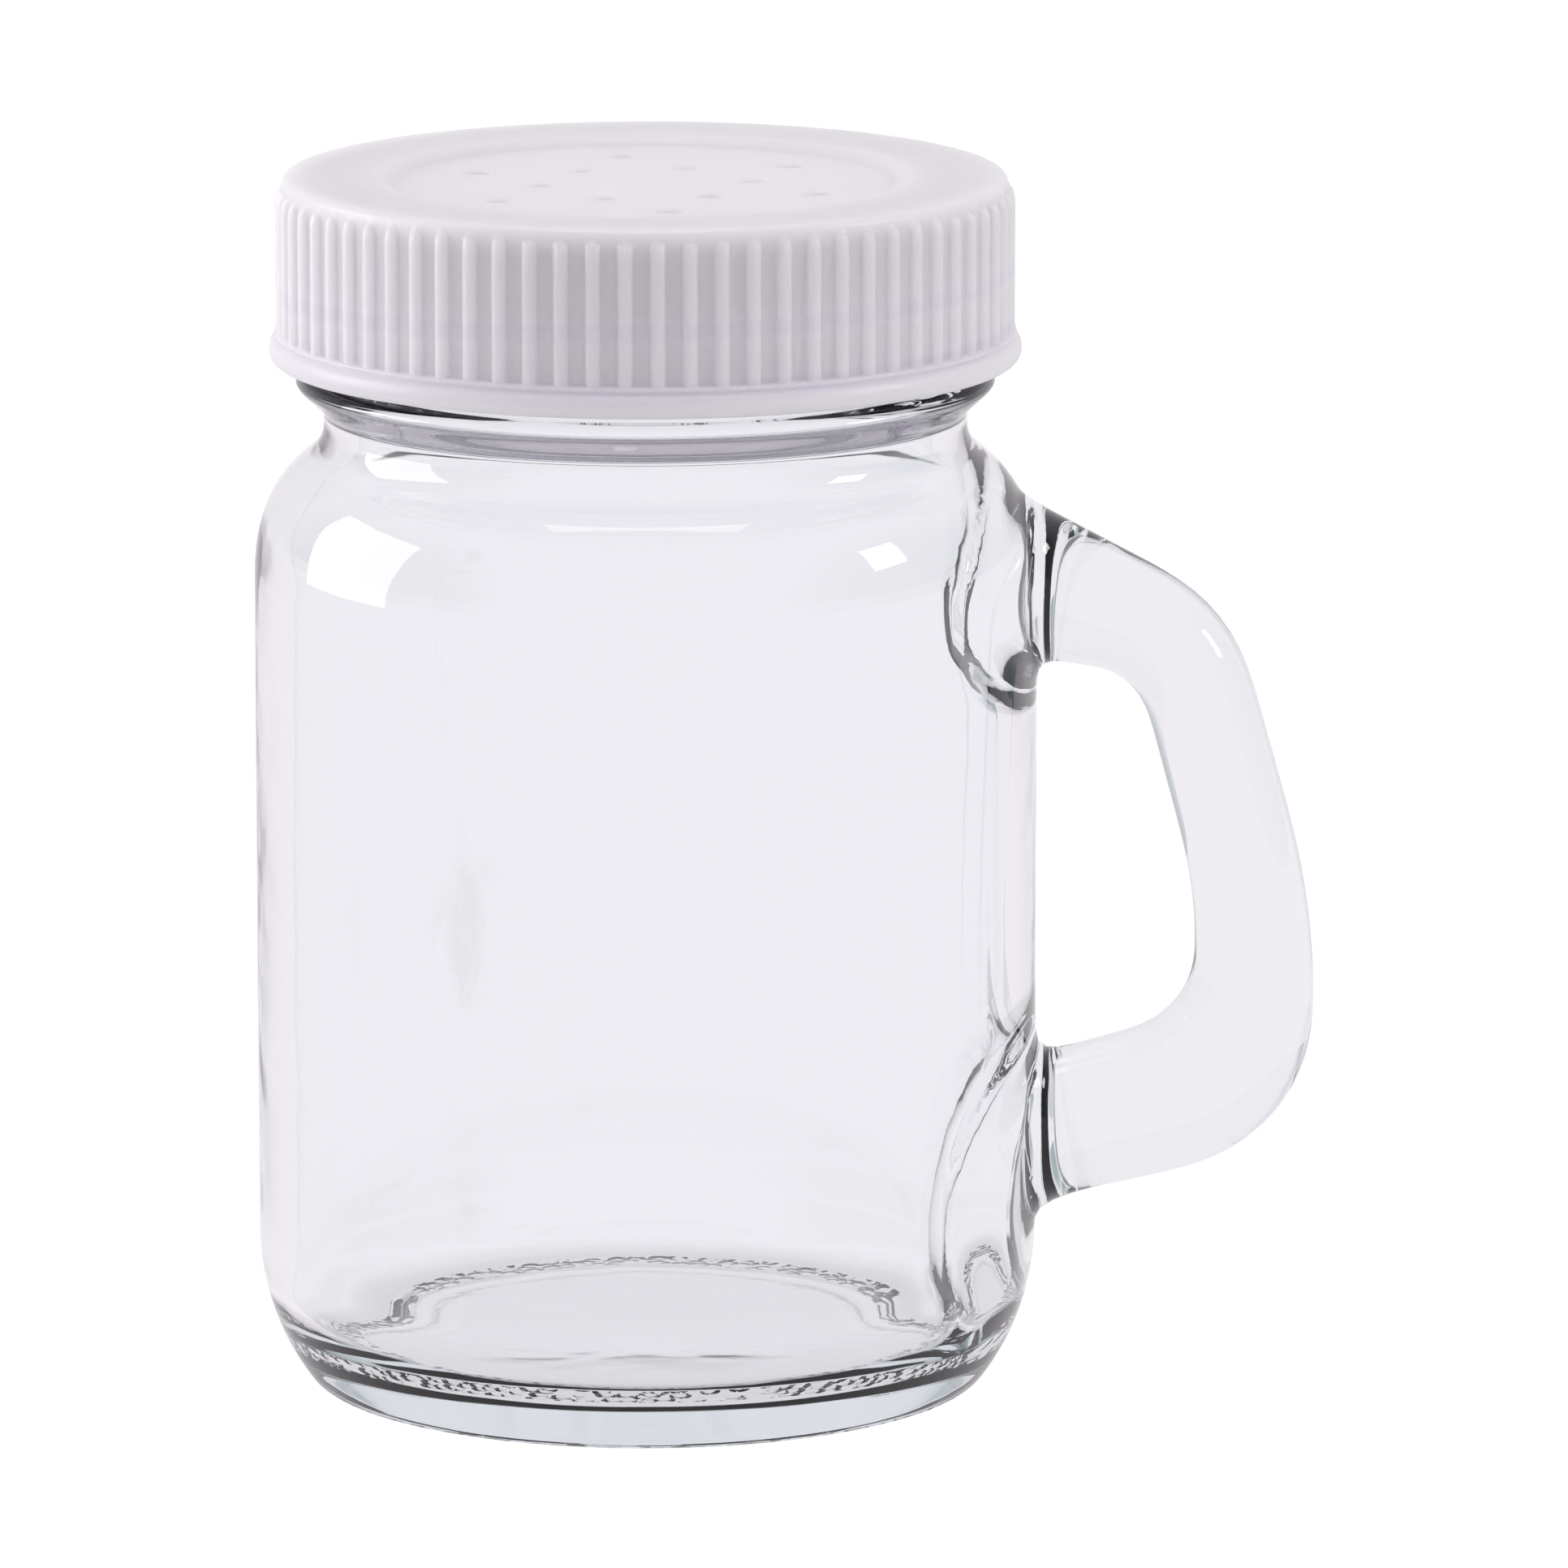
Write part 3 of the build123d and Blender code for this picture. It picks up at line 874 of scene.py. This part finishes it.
def makeFloor(s):
    half = s["floorSize"] / 2
    mesh = bpy.data.meshes.new("floorSheet")
    mesh.from_pydata([(-half, -half, 0), (half, -half, 0), (half, half, 0), (-half, half, 0)], [], [(0, 1, 2, 3)])
    sheet = bpy.data.objects.new("floorSheet", mesh)
    scene.collection.objects.link(sheet)
    sheet.location.z = -s["floorDrop"]
    material = bpy.data.materials.new("paleFloor")
    material.use_nodes = True
    nodes, links = material.node_tree.nodes, material.node_tree.links
    nodes.clear()
    path, place = nodes.new("ShaderNodeLightPath"), nodes.new("ShaderNodeTexCoord")

    # to the camera: a pale glow that still takes the object's shadow
    seen, glow, base = (nodes.new(k) for k in ("ShaderNodeAddShader", "ShaderNodeEmission", "ShaderNodeBsdfDiffuse"))
    glow.inputs["Strength"].default_value = s["floorCameraGlow"]
    base.inputs["Color"].default_value = grey(s["floorCameraDiffuse"])
    links.new(glow.outputs[0], seen.inputs[0])
    links.new(base.outputs[0], seen.inputs[1])

    # through glass: a glow with a painted shadow under the jar, and plain white to everything else
    behind, plain = nodes.new("ShaderNodeEmission"), nodes.new("ShaderNodeBsdfDiffuse")
    plain.inputs["Color"].default_value = s["floorDiffuse"]
    # painted shadow: the glow seen through the glass is dimmed within a radius of the jar's middle
    reach = nodes.new("ShaderNodeVectorMath")
    reach.operation = "LENGTH"
    links.new(place.outputs["Object"], reach.inputs[0])
    under = mapRange(nodes, links, reach.outputs["Value"], *s["paintedShadowRadii"], toLow=s["paintedUnderJarShadow"])
    behind.inputs["Color"].default_value = s["floorGlassGlow"]
    links.new(under, behind.inputs["Strength"])
    throughGlass = maths(nodes, links, "MAXIMUM", path.outputs["Is Transmission Ray"], path.outputs["Is Glossy Ray"])
    first = mixShader(nodes, links, throughGlass, plain.outputs[0], behind.outputs[0])
    second = mixShader(nodes, links, path.outputs["Is Camera Ray"], first, seen.outputs[0])
    out = nodes.new("ShaderNodeOutputMaterial")
    links.new(second, out.inputs["Surface"])
    mesh.materials.append(material)


def makeWorld(s):
    world = bpy.data.worlds.new("whiteRoom")
    scene.world = world
    world.use_nodes = True
    nodes, links = world.node_tree.nodes, world.node_tree.links
    nodes.clear()
    path, place = nodes.new("ShaderNodeLightPath"), nodes.new("ShaderNodeTexCoord")
    apart = nodes.new("ShaderNodeSeparateXYZ")
    links.new(place.outputs["Generated"], apart.inputs[0])
    sideways = maths(nodes, links, "ABSOLUTE", apart.outputs["X"])
    sideShare = mapRange(nodes, links, sideways, *s["worldDarkFrom"])
    glassView = mixColour(nodes, links, sideShare, s["worldGlass"], s["worldDark"])
    gloss = mixColour(nodes, links, path.outputs["Is Glossy Ray"], glassView, grey(s["worldGloss"]), "MULTIPLY")
    throughGlass = maths(nodes, links, "MAXIMUM", path.outputs["Is Transmission Ray"], path.outputs["Is Glossy Ray"])
    unseen = mixColour(nodes, links, throughGlass, grey(s["worldDiffuse"]), gloss)
    back = nodes.new("ShaderNodeBackground")
    links.new(mixColour(nodes, links, path.outputs["Is Camera Ray"], unseen, grey(1)), back.inputs["Color"])
    out = nodes.new("ShaderNodeOutputWorld")
    links.new(back.outputs[0], out.inputs["Surface"])


def makeLamps(s):
    aim = Vector(s["lampAim"])
    for name, place, size, watts, reflected in s["lamps"]:
        data = bpy.data.lights.new(name, "AREA")
        data.shape, data.size, data.energy = "SQUARE", size, watts
        lamp = bpy.data.objects.new(name, data)
        scene.collection.objects.link(lamp)
        lamp.visible_transmission = False
        lamp.visible_glossy = reflected
        lamp.location = place
        lamp.rotation_euler = (aim - Vector(place)).to_track_quat("-Z", "Y").to_euler()


makeFloor(studio)
makeWorld(studio)
makeLamps(studio)
scene.view_settings.view_transform = "Standard"
scene.cycles.max_bounces = scene.cycles.transmission_bounces = studio["bounces"]
scene.cycles.transparent_max_bounces = studio["clearBounces"]
print("studio placed")
